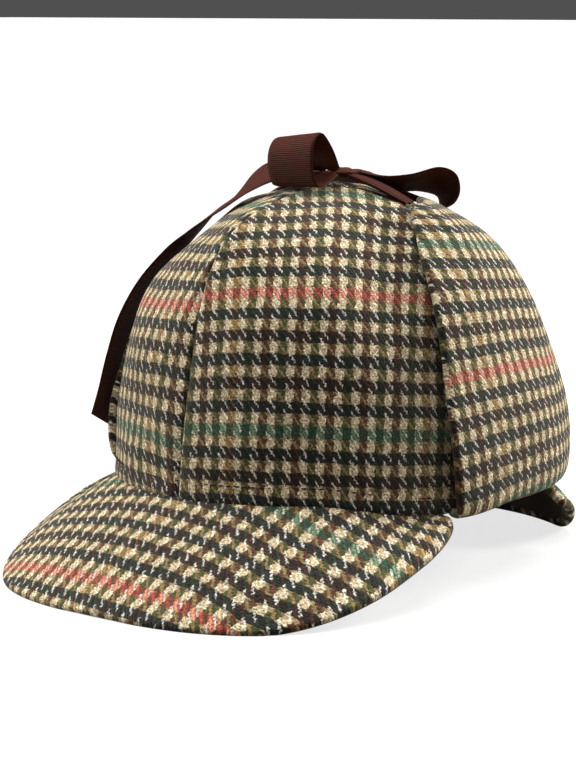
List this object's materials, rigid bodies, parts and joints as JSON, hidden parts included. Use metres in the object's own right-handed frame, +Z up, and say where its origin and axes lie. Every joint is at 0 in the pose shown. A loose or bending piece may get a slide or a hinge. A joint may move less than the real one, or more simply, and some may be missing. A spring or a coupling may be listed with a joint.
{
  "type": "deerstalker hat",
  "caption": "Tweed deerstalker hat: gored crown, front and back peaks, ear flaps folded up and tied on top with a ribbon bow.",
  "frame": {"origin": "below the middle of the whole hat, on the surface that it rests on", "axes": "+Z up; -Y towards the front peak; +X towards the wearer's left"},
  "size_m": [0.206, 0.2756, 0.1877],
  "materials": {
    "tweed": "brown, cream and green checked wool twill, matt",
    "facing": "dark brown cloth facing, matt",
    "ribbon": "dark brown grosgrain ribbon, slight sheen"
  },
  "bodies": {
    "root": {"crown_gore_front_left": "tweed", "crown_gore_front_right": "tweed", "crown_gore_back_left": "tweed", "crown_gore_back_right": "tweed", "front_peak": "tweed", "back_peak": "tweed", "left_ear_flap": "tweed", "right_ear_flap": "tweed", "front_peak_facing": "facing", "back_peak_facing": "facing", "bow_knot": "ribbon", "bow_front_loop": "ribbon", "bow_back_loop": "ribbon", "left_tie": "ribbon", "right_tie": "ribbon", "side_tail": "ribbon", "back_tail": "ribbon"}
  },
  "joints": []
}
